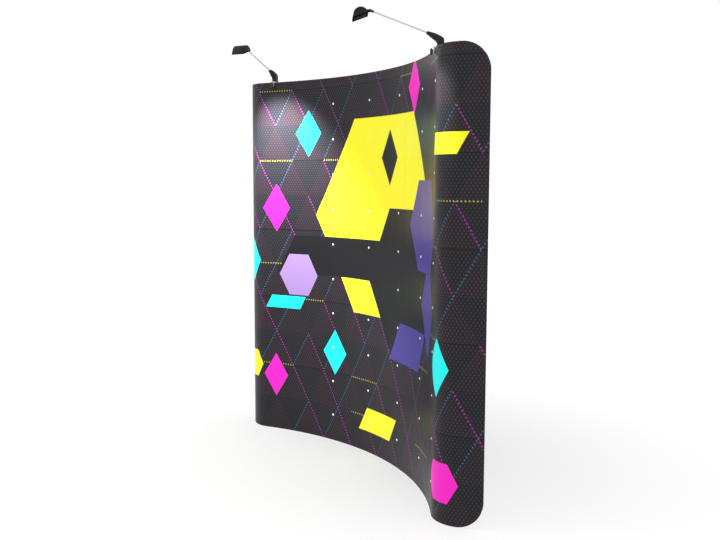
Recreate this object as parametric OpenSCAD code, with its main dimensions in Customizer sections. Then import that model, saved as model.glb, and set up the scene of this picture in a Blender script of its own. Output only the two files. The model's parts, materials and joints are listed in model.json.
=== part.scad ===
// Curved pop-up display backwall, three panels wide and three hub rows high.
// A scissor lattice of tubes and hubs carries channel bars, and the printed panels hold on them.
// Millimetres. Z is up, the visitor stands on the -Y side, X runs along the wall.

/* [Wall] */
// Height of the panels' top edge above the floor
wall_h = 2225; // [2000:5:2400]
// Gap between the panels' bottom edge and the floor
floor_gap = 4; // [2:1:15]
// Radius of the front face of the curved wall
arc_r = 1626; // [1400:2:2200]
// Width of one front panel along the arc
panel_w = 634; // [560:1:700]
// Thickness of the laminated panels
skin_t = 1.2; // [1:0.1:3]
// Open butt joint between two panels
seam = 0.4; // [0.2:0.1:2]

/* [End caps] */
// Radius of the bend that turns the wall into its end cap
cap_r = 165; // [120:1:220]
// Angle of that bend
cap_turn = 73.5; // [55:0.5:85]
// Straight run after the bend
cap_flat = 101; // [80:1:140]
// Radius of the rolled rear edge
roll_r = 22; // [12:1:40]
// Angle of the rolled rear edge
roll_turn = 45; // [20:1:80]
// Radius of the cap's two rear corners
corner_r = 130; // [60:1:150]

/* [Frame] */
// Depth from the front hubs to the rear hubs
frame_depth = 185; // [170:5:400]
// Height of the lowest hub row
low_hub_z = 75; // [65:1:100]
// Distance from the top edge down to the highest hub row
top_hub_drop = 60; // [45:1:120]
// Outer diameter of the lattice tubes
tube_d = 12; // [10:0.5:16]
// Wall of the lattice tubes
tube_wall = 1.2; // [0.8:0.1:2]
// Length of tube past each pin
tube_end = 7; // [6:0.5:10]
// Clear space between two tubes that cross
cross_gap = 7; // [6:0.5:10]
// Diameter of the hub pins and of the crossing rivets
pin_d = 5; // [4:0.1:6]

/* [Hubs] */
// Thickness of the hub plate
plate_t = 8; // [6:0.5:12]
// Radius of the hub's round core
core_r = 22; // [18:0.5:26]
// Distance of the slot pins from the hub's centre
pin_out = 26; // [24:0.5:34]
// Height of the slot pins over the hub plate
pin_up = 12; // [11:0.5:16]
// Thickness of the ears beside each tube
ear_t = 3.5; // [3:0.1:5]
// Radius of an ear round its pin
ear_r = 6; // [5:0.5:8]
// Height of the lock lugs' pin over the hub plate
lug_up = 26; // [25:0.5:34]
// Height of the nose that sits in a channel bar
nose_h = 40; // [24:1:60]

/* [Lock arms] */
// Thickness of a lock arm
lock_t = 5; // [4:0.1:5.5]
// Height of a lock arm
lock_h = 10; // [8:0.5:14]
// Radius of the lock arm's eye and hook
lock_eye_r = 7; // [6:0.5:9]

/* [Channel bars] */
// Width of a channel bar
bar_w = 30; // [26:1:40]
// Depth of a channel bar
bar_d = 9; // [7:0.5:14]
// Wall of a channel bar
bar_wall = 1.5; // [1:0.1:2.5]
// Height of a bar's lower end, and drop of its upper end under the top edge
bar_inset = 45; // [40:1:80]
// Length of the joiner inside a bar
joiner_l = 80; // [40:1:120]
// Clear height between a joiner and the hub's nose above it
joiner_gap = 40; // [20:1:100]
// Width of the magnet strips
magnet_w = 20; // [12:1:21]
// Thickness of the magnet strips
magnet_t = 1.5; // [1:0.1:2.5]
// Distance of the cap bar from the end of the cap's bend
cap_bar_x = 50; // [30:1:60]

/* [Studs] */
// Number of stud columns
stud_cols = 5; // [1:1:5]
// Number of stud rows
stud_rows = 10; // [1:1:10]
// Distance between stud columns, measured along X
stud_pitch_x = 324.4; // [280:0.1:330]
// Distance between stud rows
stud_pitch_z = 211.9; // [150:0.1:215]
// Distance from the top edge to the highest stud row
stud_drop = 154.2; // [100:0.1:200]
// Distance of the last stud column from the wall's end seam
stud_edge = 16.5; // [16.5:0.1:60]
// Diameter of a stud cap
stud_d = 14; // [8:0.5:18]
// Height of a stud cap's dome
stud_h = 3; // [2:0.1:5]
// Diameter of a stud's back washer
washer_d = 12; // [8:0.5:12]
// Thickness of a stud's back washer
washer_t = 1.5; // [1:0.1:1.6]

/* [Top rails] */
// Height of the rail behind a panel's top edge
rail_h = 24; // [16:1:30]
// Thickness of that rail
rail_t = 2; // [1.5:0.1:3]

/* [Feet] */
// Diameter of a foot pad
pad_d = 30; // [20:1:40]
// Height of a foot pad
pad_h = 12; // [8:1:16]

/* [Lamps] */
// Angle of each lamp from the middle of the wall
lamp_angle = 31.4; // [26:0.1:32]
// Distance from the wall's face to the elbow's tip
tip_out = 41; // [36:1:60]
// Height of the elbow's tip over the top edge
tip_up = 71; // [66:1:90]
// Slope of the lamp's rod
rod_slope = 20.5; // [10:0.5:35]
// Distance along the rod from the elbow's tip to the tilt pin
rod_l = 280; // [200:1:400]
// Diameter of the lamp's rod
rod_d = 7; // [6:0.5:8]
// Tilt of the lamp's face at rest
head_tilt = 20; // [0:1:35]
// Width of the lamp's head
head_w = 88; // [70:1:120]
// Radius of the head's round back
head_r = 34; // [31:0.5:42]
// Wall of the head's shell
head_wall = 2.5; // [1.5:0.1:3]
// Span of the wings of the clamp's knob
knob_d = 34; // [24:1:36]
// Length of the clamp's knob
knob_l = 13; // [12:1:24]
// Diameter of the clamp's screw
screw_d = 6; // [5:0.5:8]
// Diameter of the swivel post
post_d = 10; // [8:0.5:12]

/* [Hidden] */
// Origin: on the floor, half way between the rearmost hub and the foremost lamp
mid_y = 198;
run_fit = 0.05;
seat = 0.3;
eps = 0.01;
wall_fn = 720;
cap_fn = 240;
$fn = 48;

panel_angle = panel_w / arc_r * 180 / PI;
end_angle = 1.5 * panel_angle;
seam_angle = seam / arc_r * 180 / PI;
columns = [for (i = [0:3]) (i - 1.5) * panel_angle];
row_pitch = (wall_h - top_hub_drop - low_hub_z) / 3;
rows = [for (k = [0:3]) low_hub_z + k * row_pitch];
skin_h = wall_h - floor_gap;

// The stack behind a panel: magnet strip, channel bar, hub plate
magnet_gap = 0.5;
bar_y = arc_r + skin_t + magnet_gap + magnet_t + run_fit * 2;
front_r = bar_y + bar_d + seat + plate_t;
rear_r = front_r + frame_depth;
front_pin_r = front_r + pin_up;
rear_pin_r = rear_r - pin_up;
nose_l = bar_d - bar_wall;
nose_w = bar_w - 2 * (bar_wall + seat);

// Crossing tubes lie this far above and below the hub's centre
tube_r = tube_d / 2;
level = (tube_d + cross_gap) / 2;
pin_r = pin_d / 2;
slot_half = tube_r + 0.4;
slot_w = 2 * (slot_half + ear_t);
head_t = 1.2;
lug_gap = lock_t / 2 + seat;

// The bar under the end cap's straight run
cap_bar_y = skin_t + seat + magnet_t + run_fit * 2;
bracket_y = cap_bar_y + bar_d + seat;
bracket_t = 5;
cap_pin_y = bracket_y + bracket_t + pin_up;

bar_low = bar_inset;
bar_high = wall_h - bar_inset;
// The three lengths of a bar meet below the second and the third hub row
bar_ends = [bar_low, for (k = [1, 2]) rows[k] - nose_h / 2 - joiner_gap - joiner_l / 2, bar_high];

stud_last_x = arc_r * sin(end_angle - stud_edge / arc_r * 180 / PI);
stud_shank_r = 2;
stud_angles = [for (c = [0:stud_cols - 1]) asin((stud_last_x - c * stud_pitch_x) / arc_r)];
stud_heights = [for (k = [0:stud_rows - 1]) wall_h - stud_drop - k * stud_pitch_z];

// Lamp clamp, measured from the wall's front face (-y is towards the visitor)
jaw_y = skin_t + seat + rail_t + seat;
jaw_t = 5;
pad_t = 2;
pad_travel = 2.5;
leg_y = -(2 * seat + pad_t + pad_travel + jaw_t);
leg_lobe_r = 11;
saddle_z = seat;
post_y = 27;
post_h = 16;
screw_z = -17;
screw_r = screw_d / 2;
knob_gap = 0.5;
knob_hub_r = 9;
knob_wing_w = 12;
saddle_end = post_y + 15;

elbow_foot = saddle_z + jaw_t + seat;
elbow_w = 26;
elbow_tip_w = 14;
elbow_shoulder_r = 18;
elbow_back_r = 190;
elbow_crook_r = 20;
elbow_crook_z = 27;
elbow_tip_half = 5.2;
rod_r = rod_d / 2;
rod_in = 16;

// Lamp head, in its own frame: x forward, y up from the middle of the round back
tilt_x = -49;
tilt_y = 7;
eye_r = 7;
eye_w = 8;
yoke_t = 4;
face_y = -7.5;
bezel_h = 6;
visor_x = 45;
back_x = -31;
bulb_z = 7;
// Middle and radius of the reflector's trough, and the level of the bezel's lip
trough_y = -6;
trough_r = 24;
lip_z = face_y + 2;
glass_t = 2.5;

LAMPS = ["left", "right"];

// ---- placing ----

// A point on the plan: a is the angle from the middle, t along the wall, r from the arc's centre
function plan(a, t, r) = [r * sin(a) + t * cos(a), r * cos(a) - t * sin(a)];

module from_centre() {
    translate([0, mid_y - arc_r, 0]) children();
}

// The frame of a radial line: x along the wall, y to the rear
module around(a, r = 0, z = 0) {
    from_centre() rotate([0, 0, -a]) translate([0, r, z]) children();
}

// The frame of the end cap's straight run on the right: x along it, y into the cap
module cap_run() {
    around(end_angle, arc_r + cap_r) rotate([0, 0, cap_turn]) translate([0, -cap_r, 0]) children();
}

module side(s) {
    mirror([s < 0 ? 1 : 0, 0, 0]) children();
}

// ---- panels ----

module arc_strip(a0, a1, r, t, z, h) {
    from_centre() translate([0, 0, z]) rotate([0, 0, 90 - a1])
        rotate_extrude(angle = a1 - a0, $fn = wall_fn) translate([r, 0]) square([t, h]);
}

module front_panel(j) {
    a0 = columns[j];
    a1 = columns[j + 1];
    color("dimgray") difference() {
        arc_strip(a0 + seam_angle / 2, a1 - seam_angle / 2, arc_r, skin_t, floor_gap, skin_h);
        for (a = stud_angles, z = stud_heights)
            if (a > a0 && a < a1)
                around(a, arc_r - 5, z) rotate([-90, 0, 0])
                    cylinder(r = stud_shank_r + run_fit, h = skin_t + 10);
    }
}

module corner_cut(w) {
    rotate([90, 0, 0]) translate([0, 0, -w]) linear_extrude(w * 2) difference() {
        square(corner_r + 20);
        circle(corner_r, $fn = cap_fn);
    }
}

module end_cap(s) {
    run_end = cap_flat + roll_r * sin(roll_turn);
    start = seam / cap_r * 90 / PI;
    color("dimgray") side(s) difference() {
        union() {
            around(end_angle, arc_r + cap_r, floor_gap) rotate([0, 0, start - 90])
                rotate_extrude(angle = cap_turn - start, $fn = cap_fn)
                    translate([cap_r - skin_t, 0]) square([skin_t, skin_h]);
            cap_run() translate([0, 0, floor_gap]) cube([cap_flat, skin_t, skin_h]);
            cap_run() translate([cap_flat, roll_r, floor_gap]) rotate([0, 0, -90])
                rotate_extrude(angle = roll_turn, $fn = cap_fn)
                    translate([roll_r - skin_t, 0]) square([skin_t, skin_h]);
        }
        cap_run() translate([run_end - corner_r, 0, wall_h - corner_r]) corner_cut(60);
        cap_run() translate([run_end - corner_r, 0, floor_gap + corner_r])
            mirror([0, 0, 1]) corner_cut(60);
    }
}

module top_rails() {
    inset = 30 / arc_r * 180 / PI;
    color("silver") for (j = [0:2])
        arc_strip(columns[j] + inset, columns[j + 1] - inset, arc_r + skin_t + seat, rail_t,
            wall_h - rail_h - 2, rail_h);
}

// ---- studs ----

module stud_places() {
    for (a = stud_angles, z = stud_heights) around(a, arc_r, z) children();
}

module stud_caps() {
    ball_r = (pow(stud_d / 2, 2) + pow(stud_h, 2)) / (2 * stud_h);
    color("white") stud_places() rotate([90, 0, 0]) {
        intersection() {
            translate([0, 0, stud_h - ball_r]) sphere(r = ball_r, $fn = 96);
            translate([0, 0, run_fit]) cylinder(d = stud_d + 1, h = stud_h);
        }
        translate([0, 0, -skin_t - washer_t + 0.2]) cylinder(r = stud_shank_r, h = skin_t + washer_t);
    }
}

module stud_washers() {
    color("silver") stud_places() rotate([-90, 0, 0]) translate([0, 0, skin_t + run_fit])
        difference() {
            cylinder(d = washer_d, h = washer_t);
            translate([0, 0, -1]) cylinder(r = stud_shank_r + run_fit, h = washer_t + 2);
        }
}

// ---- hubs, tubes and pins ----

// One slot of a hub, on its right: two ears that hold a tube's end on a pin
module hub_slot() {
    translate([0, -plate_t, level - slot_w / 2]) cube([pin_out + ear_r, plate_t, slot_w]);
    for (z = [level - slot_w / 2, level + slot_half]) translate([0, 0, z]) {
        translate([pin_out - ear_r, -1, 0]) cube([2 * ear_r, pin_up + 1, ear_t]);
        translate([pin_out, pin_up, 0]) cylinder(r = ear_r, h = ear_t);
    }
}

// Hub with its plate at y = 0, slots on the +y side and the bar nose on the -y side
module hub() {
    difference() {
        union() {
            rotate([90, 0, 0]) cylinder(r = core_r, h = plate_t);
            for (q = [0:3]) rotate([0, -90 * q, 0]) hub_slot();
            translate([-nose_w / 2, -plate_t - nose_l, -nose_h / 2]) cube([nose_w, nose_l + 1, nose_h]);
            for (x = [-lug_gap - ear_t, lug_gap]) translate([x, 0, 0]) {
                translate([0, -1, -ear_r]) cube([ear_t, lug_up + 1, 2 * ear_r]);
                translate([0, lug_up, 0]) rotate([0, 90, 0]) cylinder(r = ear_r, h = ear_t);
            }
        }
        for (q = [0:3]) rotate([0, -90 * q, 0]) translate([pin_out, pin_up, level])
            cylinder(r = pin_r + run_fit, h = slot_w + 2, center = true);
        translate([0, lug_up, 0]) rotate([0, 90, 0])
            cylinder(r = pin_r + run_fit, h = 40, center = true);
    }
}

module front_hub_place(i, k) {
    around(columns[i], front_r, rows[k]) children();
}

module rear_hub_place(i, k) {
    around(columns[i], rear_r, rows[k]) rotate([0, 0, 180]) children();
}

module hub_column(i) {
    color("#2a2b2e") for (k = [0:3]) {
        front_hub_place(i, k) hub();
        rear_hub_place(i, k) hub();
    }
}

// A tube along +x whose pins stand along z, with one more bore where it crosses another
module tube(length, cross = 0) {
    color("silver") difference() {
        translate([-tube_end, 0, 0]) rotate([0, 90, 0]) cylinder(r = tube_r, h = length + 2 * tube_end);
        translate([-tube_end - 1, 0, 0]) rotate([0, 90, 0])
            cylinder(r = tube_r - tube_wall, h = length + 2 * tube_end + 2);
        for (x = cross > 0 ? [0, cross, length] : [0, length]) translate([x, 0, 0])
            cylinder(r = pin_r + run_fit, h = tube_d + 2, center = true);
    }
}

// A level tube between two points of the plan
module plan_tube(p, q, z, share = 0) {
    d = q - p;
    length = norm(d);
    from_centre() translate([p[0], p[1], z]) rotate([0, 0, atan2(d[1], d[0])])
        tube(length, share * length);
}

half_bay = panel_angle / 2;
front_span = front_pin_r * sin(half_bay) - pin_out * cos(half_bay);
rear_span = rear_pin_r * sin(half_bay) - pin_out * cos(half_bay);
// Share of a level tube, from its front end, at which it meets its partner
bay_share = front_span / (front_span + rear_span);
front_reach = front_pin_r * cos(half_bay) + pin_out * sin(half_bay);
rear_reach = rear_pin_r * cos(half_bay) + pin_out * sin(half_bay);
bay_cross_r = front_reach + bay_share * (rear_reach - front_reach);

module bay_tubes(b) {
    for (k = [0:3]) {
        plan_tube(plan(columns[b], pin_out, front_pin_r), plan(columns[b + 1], -pin_out, rear_pin_r),
            rows[k] + level, bay_share);
        plan_tube(plan(columns[b + 1], -pin_out, front_pin_r), plan(columns[b], pin_out, rear_pin_r),
            rows[k] - level, bay_share);
    }
}

column_rise = row_pitch - 2 * pin_out;
column_run = rear_pin_r - front_pin_r;
column_slope = atan2(column_rise, column_run);
column_length = norm([column_rise, column_run]);

module column_tubes(i) {
    for (k = [0:2]) {
        around(columns[i], front_pin_r, rows[k] + pin_out) translate([-level, 0, 0])
            rotate([column_slope, 0, 0]) rotate([0, 90, 0]) rotate([0, 0, 90])
                tube(column_length, column_length / 2);
        around(columns[i], rear_pin_r, rows[k] + pin_out) translate([level, 0, 0])
            rotate([180 - column_slope, 0, 0]) rotate([0, 90, 0]) rotate([0, 0, 90])
                tube(column_length, column_length / 2);
    }
}

// A pin along z, centred, whose heads lie outside a stack of the given height
module pin(stack) {
    cylinder(r = pin_r, h = stack + 2 * head_t, center = true);
    for (m = [0, 1]) mirror([0, 0, m]) translate([0, 0, stack / 2 + run_fit])
        cylinder(r = pin_r + 2, h = head_t);
}

// A rivet through two crossing tubes, with the spacer between them
module rivet() {
    pin(2 * (level + tube_r));
    cylinder(r = pin_r + 2, h = cross_gap - 2 * run_fit, center = true);
}

module crossing_rivets() {
    color("gray") {
        for (b = [0:2], k = [0:3])
            around((columns[b] + columns[b + 1]) / 2, bay_cross_r, rows[k]) rivet();
        for (i = [0:3], k = [0:2])
            around(columns[i], (front_pin_r + rear_pin_r) / 2, (rows[k] + rows[k + 1]) / 2)
                rotate([0, 90, 0]) rivet();
    }
}

// The pins of one hub: both level slots, the upright slots that are in use, and the lug pin
module hub_pin_set(k, locked) {
    for (q = k < 3 ? [0, 1, 2, 3] : [0, 2, 3]) rotate([0, -90 * q, 0])
        translate([pin_out, pin_up, level]) pin(slot_w);
    if (locked) translate([0, lug_up, 0]) rotate([0, 90, 0]) pin(2 * (lug_gap + ear_t));
}

module hub_pins() {
    color("gray") {
        for (i = [0:3], k = [0:3]) {
            locked = (i == 1 || i == 2) && (k == 1 || k == 2);
            front_hub_place(i, k) hub_pin_set(k, locked);
            rear_hub_place(i, k) hub_pin_set(k, locked);
        }
        for (s = [-1, 1], k = [0:3]) side(s) cap_run()
            translate([cap_bar_x, cap_pin_y, rows[k]]) {
                pin(slot_w + 2 * level);
                cylinder(r = pin_r + 2, h = cross_gap - 2 * run_fit, center = true);
            }
    }
}

// ---- lock arms ----

lock_l = frame_depth - 2 * lug_up;

// An arm from the rear hub's lug pin to the front hub's, where it hooks down over the pin
module lock_arm(n) {
    i = n % 2 + 1;
    k = floor(n / 2) + 1;
    color("#1d1e20") rear_hub_place(i, k) translate([0, lug_up, 0]) difference() {
        union() {
            rotate([0, 90, 0]) cylinder(r = lock_eye_r, h = lock_t, center = true);
            translate([-lock_t / 2, 0, -lock_h / 2]) cube([lock_t, lock_l, lock_h]);
            translate([0, lock_l, 0]) rotate([0, 90, 0])
                cylinder(r = lock_eye_r, h = lock_t, center = true);
        }
        rotate([0, 90, 0]) cylinder(r = pin_r + run_fit, h = lock_t + 2, center = true);
        translate([0, lock_l, 0]) {
            rotate([0, 90, 0]) cylinder(r = pin_r + seat, h = lock_t + 2, center = true);
            translate([-lock_t, -pin_r - seat, -20]) cube([2 * lock_t, 2 * (pin_r + seat), 20]);
        }
    }
}

// ---- channel bars and what sits on them ----

// One length of channel, open to +y, with its front at y = 0
module channel(h) {
    color("lightgray") difference() {
        translate([-bar_w / 2, 0, 0]) cube([bar_w, bar_d, h]);
        translate([-bar_w / 2 + bar_wall, bar_wall, -1]) cube([bar_w - 2 * bar_wall, bar_d, h + 2]);
    }
}

module bar_pieces() {
    for (m = [0:2]) translate([0, 0, bar_ends[m] + seat / 2])
        channel(bar_ends[m + 1] - bar_ends[m] - seat);
}

module bar_joiner_pair() {
    for (m = [1, 2]) translate([-nose_w / 2, bar_wall + seat, bar_ends[m] - joiner_l / 2])
        cube([nose_w, bar_d - bar_wall - 2 * seat, joiner_l]);
}

module front_bars() {
    for (a = columns) around(a, bar_y) bar_pieces();
}

module cap_bars() {
    for (s = [-1, 1]) side(s) cap_run() translate([cap_bar_x, cap_bar_y, 0]) bar_pieces();
}

module bar_joiners() {
    color("#2a2b2e") {
        for (a = columns) around(a, bar_y) bar_joiner_pair();
        for (s = [-1, 1]) side(s) cap_run() translate([cap_bar_x, cap_bar_y, 0]) bar_joiner_pair();
    }
}

module magnet_strips() {
    strip = [magnet_w, magnet_t, bar_high - bar_low];
    color("#3a2e28") {
        for (a = columns) around(a, bar_y - magnet_t - run_fit * 2, bar_low)
            translate([-magnet_w / 2, 0, 0]) cube(strip);
        for (s = [-1, 1]) side(s) cap_run()
            translate([cap_bar_x - magnet_w / 2, skin_t + seat, bar_low]) cube(strip);
    }
}

// Brackets that sit in the cap bars and take the arms from the end hubs
module cap_brackets() {
    ear_z = level + slot_half;
    color("#2a2b2e") for (s = [-1, 1], k = [0:3]) side(s) cap_run()
        translate([cap_bar_x, 0, rows[k]]) difference() {
            union() {
                translate([-nose_w / 2, cap_bar_y + bar_wall + seat, -nose_h / 2])
                    cube([nose_w, nose_l + 1, nose_h]);
                translate([-bar_w / 2, bracket_y, -ear_z - ear_t])
                    cube([bar_w, bracket_t, 2 * (ear_z + ear_t)]);
                for (z = [-ear_z - ear_t, ear_z]) translate([0, 0, z]) {
                    translate([-ear_r, bracket_y, 0]) cube([2 * ear_r, cap_pin_y - bracket_y, ear_t]);
                    translate([0, cap_pin_y, 0]) cylinder(r = ear_r, h = ear_t);
                }
            }
            translate([0, cap_pin_y, 0])
                cylinder(r = pin_r + run_fit, h = 2 * (ear_z + ear_t) + 2, center = true);
        }
}

// Where the cap bracket's pin stands on the plan, on the right
cap_heading = cap_turn - end_angle;
cap_corner = plan(end_angle, cap_r * sin(cap_turn), arc_r + cap_r - cap_r * cos(cap_turn));
cap_pin = cap_corner + [cap_bar_x * cos(cap_heading) - cap_pin_y * sin(cap_heading),
    cap_bar_x * sin(cap_heading) + cap_pin_y * cos(cap_heading)];

module cap_arms() {
    for (s = [-1, 1], k = [0:3]) {
        target = [s * cap_pin[0], cap_pin[1]];
        plan_tube(plan(s * end_angle, s * pin_out, front_pin_r), target, rows[k] + s * level);
        plan_tube(plan(s * end_angle, s * pin_out, rear_pin_r), target, rows[k] - s * level);
    }
}

// ---- feet ----

module foot_places() {
    for (i = [0:3]) {
        front_hub_place(i, 0) translate([level, pin_up, 0]) children();
        rear_hub_place(i, 0) translate([level, pin_up, 0]) children();
    }
}

module foot_stems() {
    stem_low = pad_h / 2 - low_hub_z;
    color("#2a2b2e") foot_places() difference() {
        translate([0, 0, stem_low]) cylinder(r = tube_r, h = -pin_out + tube_end - stem_low);
        translate([0, 0, -pin_out]) rotate([0, 90, 0])
            cylinder(r = pin_r + run_fit, h = tube_d + 2, center = true);
    }
}

module foot_pads() {
    color("#18181a") foot_places() translate([0, 0, -low_hub_z]) difference() {
        rotate_extrude() polygon([[0, 0], [pad_d / 2 - 2, 0], [pad_d / 2, 2],
            [pad_d / 2, pad_h / 2], [tube_r + 3, pad_h], [0, pad_h]]);
        translate([0, 0, pad_h / 2 - run_fit]) cylinder(r = tube_r + run_fit, h = pad_h);
    }
}

// ---- lamps ----

// A lamp's frame: on the wall's front face at the top edge, x along the wall, y to the rear
module lamp_place(s) {
    around((s == "left" ? -1 : 1) * lamp_angle, arc_r, wall_h) children();
}

// Turns an outline drawn as (forward, up) into a solid that is centred across the lamp
module across(w) {
    rotate([90, 0, -90]) linear_extrude(w, center = true) children();
}

module clamp() {
    leg_low = screw_z - leg_lobe_r;
    color("#c9cac8") difference() {
        union() {
            translate([-13, leg_y, saddle_z]) cube([26, saddle_end - leg_y, jaw_t]);
            translate([0, leg_y, 0]) rotate([-90, 0, 0]) linear_extrude(jaw_t)
                polygon([[-13, -saddle_z - 1], [13, -saddle_z - 1],
                    [leg_lobe_r - 0.5, -screw_z], [-leg_lobe_r + 0.5, -screw_z]]);
            translate([0, leg_y, screw_z]) rotate([-90, 0, 0]) cylinder(r = leg_lobe_r, h = jaw_t);
            translate([-10, jaw_y, -24]) cube([20, jaw_t, 24 + saddle_z + 1]);
            translate([0, post_y, saddle_z + 1]) cylinder(d = post_d, h = jaw_t + post_h);
        }
        translate([0, leg_y - 1, screw_z]) rotate([-90, 0, 0])
            cylinder(r = screw_r + run_fit, h = jaw_t + 2);
    }
}

module clamp_pad() {
    color("#202123") translate([0, -seat, screw_z]) rotate([90, 0, 0]) difference() {
        cylinder(r = 7, h = pad_t);
        translate([0, 0, pad_t / 2]) cylinder(r = 2 + run_fit, h = pad_t);
    }
}

module clamp_screw() {
    shoulder = seat + pad_t + run_fit;
    color("gray") translate([0, 0, screw_z]) rotate([90, 0, 0]) {
        translate([0, 0, shoulder]) cylinder(r = screw_r, h = -leg_y + knob_gap + knob_l - 4 - shoulder);
        translate([0, 0, seat + pad_t / 2 + 0.2]) cylinder(r = 2, h = pad_t);
    }
}

// Hub with two wings, which are upright at rest
module clamp_knob() {
    wing_r = knob_d / 2;
    color("#3c3d3c") translate([0, leg_y - knob_gap, screw_z]) rotate([90, 0, 0]) difference() {
        union() {
            cylinder(r = knob_hub_r, h = knob_l - 1);
            intersection() {
                union() {
                    cylinder(r1 = knob_hub_r, r2 = wing_r, h = knob_l * 0.6);
                    translate([0, 0, knob_l * 0.6 - eps]) cylinder(r1 = wing_r, r2 = wing_r - 4, h = knob_l * 0.4);
                }
                translate([-knob_wing_w / 2, -wing_r - 1, 0]) cube([knob_wing_w, knob_d + 2, knob_l + 1]);
            }
        }
        translate([0, 0, -1]) cylinder(r = screw_r + run_fit, h = knob_l - 2.5);
    }
}

// Side outline of the elbow as (forward, up): a shoulder, a long back that touches it, and a crook
module elbow_outline() {
    heel = -post_y - 14;
    crook = [-post_y + 18, elbow_crook_z];
    shoulder = [heel + elbow_shoulder_r, elbow_foot + 28];
    half = elbow_tip_half * [-sin(rod_slope), cos(rod_slope)];
    tip_top = [tip_out, tip_up] + half;
    tip_low = [tip_out, tip_up] - half;
    // Middle of the back's circle, which passes the tip and touches the shoulder from outside
    arm = elbow_back_r - elbow_shoulder_r;
    reach = norm(tip_top - shoulder);
    bearing = atan2(tip_top[1] - shoulder[1], tip_top[0] - shoulder[0])
        - acos((arm * arm + reach * reach - elbow_back_r * elbow_back_r) / (2 * arm * reach));
    back = shoulder + arm * [cos(bearing), sin(bearing)];
    touch = shoulder - elbow_shoulder_r * [cos(bearing), sin(bearing)];
    // The crook is rounded where the upright foot turns into the straight underside
    under = atan2(tip_low[1] - crook[1], tip_low[0] - crook[0]);
    run = elbow_crook_r / tan((90 + under) / 2);
    round_from = crook - [0, run];
    intersection() {
        translate(back) circle(elbow_back_r, $fn = 720);
        union() {
            translate(shoulder) circle(elbow_shoulder_r, $fn = 96);
            polygon([[heel, elbow_foot], [crook[0], elbow_foot], crook, tip_low, tip_top,
                (tip_top + touch) / 2 + [-8, 16], touch, shoulder, [heel, shoulder[1]]]);
            difference() {
                polygon([round_from, crook, crook + run * [cos(under), sin(under)],
                    round_from + [elbow_crook_r, 0]]);
                translate(round_from + [elbow_crook_r, 0]) circle(elbow_crook_r, $fn = 96);
            }
        }
    }
}

module elbow() {
    color("#232425") difference() {
        union() {
            intersection() {
                across(elbow_w + 10) elbow_outline();
                linear_extrude(200) polygon([[-elbow_w / 2 + 2, post_y + 16], [elbow_w / 2 - 2, post_y + 16],
                    [elbow_w / 2, post_y + 10], [elbow_w / 2, post_y - 12],
                    [elbow_tip_w / 2, -tip_out - 6], [-elbow_tip_w / 2, -tip_out - 6],
                    [-elbow_w / 2, post_y - 12], [-elbow_w / 2, post_y + 10]]);
            }
            translate([0, post_y + 10, elbow_foot + 12]) rotate([-90, 0, 0]) cylinder(r = 5, h = 13);
        }
        translate([0, post_y, 0]) cylinder(r = post_d / 2 + run_fit, h = saddle_z + jaw_t + post_h + 2);
        translate([0, -tip_out, tip_up]) rotate([90 - rod_slope, 0, 0]) translate([0, 0, -rod_in])
            cylinder(r = rod_r + run_fit, h = rod_in + 10);
    }
}

// The frame at the elbow's tip, with z along the rod
module rod_line() {
    translate([0, -tip_out, tip_up]) rotate([90 - rod_slope, 0, 0]) children();
}

rod_end_l = 14;
rod_top = rod_l - rod_end_l + 2;

module rod() {
    color("#c4c4be") rod_line() difference() {
        translate([0, 0, seat - rod_in]) cylinder(r = rod_r, h = rod_top - seat + rod_in - seat);
        translate([0, 0, -rod_in - 1]) cylinder(r = rod_r - 1, h = rod_l + rod_in);
    }
}

// Moulded end with the eye that the head tilts on
module rod_end() {
    color("#232425") rod_line() difference() {
        union() {
            translate([0, 0, rod_l - rod_end_l - 4]) cylinder(r1 = rod_r + 1.2, r2 = eye_w / 2 + 2, h = 8);
            translate([-eye_w / 2, -5, rod_l - rod_end_l]) cube([eye_w, 10, rod_end_l]);
            translate([0, 0, rod_l]) rotate([0, 90, 0]) cylinder(r = eye_r, h = eye_w, center = true);
        }
        translate([0, 0, rod_l - rod_end_l - 5]) cylinder(r = rod_r + run_fit, h = 7);
        translate([0, 0, rod_l]) rotate([0, 90, 0])
            cylinder(r = pin_r + run_fit, h = eye_w + 2, center = true);
    }
}

// The head's frame, where outlines are drawn as (forward, up) from the middle of the round back
module head_place() {
    translate([0, -tip_out - rod_l * cos(rod_slope), tip_up + rod_l * sin(rod_slope)])
        rotate([head_tilt, 0, 0]) translate([0, tilt_x, -tilt_y]) children();
}

module tilt_pin() {
    color("gray") head_place() translate([0, -tilt_x, tilt_y]) rotate([0, 90, 0])
        pin(eye_w + 2 * (seat + yoke_t));
}

// Angle at which the visor's upper line touches the round back
function visor_touch(r, tip) = atan2(tip[1], tip[0]) + acos(r / norm(tip));

// Round back and visor, drawn in by inset, down to the level low
module head_outline(inset, low) {
    r = head_r - inset;
    tip = [visor_x - inset, face_y];
    touch = visor_touch(r, tip);
    intersection() {
        union() {
            circle(r, $fn = 96);
            polygon([[0, 0], [r * cos(touch), r * sin(touch)], tip, [0, face_y]]);
        }
        translate([-100, low]) square([200, 100]);
    }
}

// Ends of the head lean in towards the top
module head_ends(inset) {
    w = head_w / 2 - inset;
    rotate([90, 0, 0]) linear_extrude(200, center = true)
        polygon([[-w, face_y], [w, face_y], [w - 6, head_r + 1], [-w + 6, head_r + 1]]);
}

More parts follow.
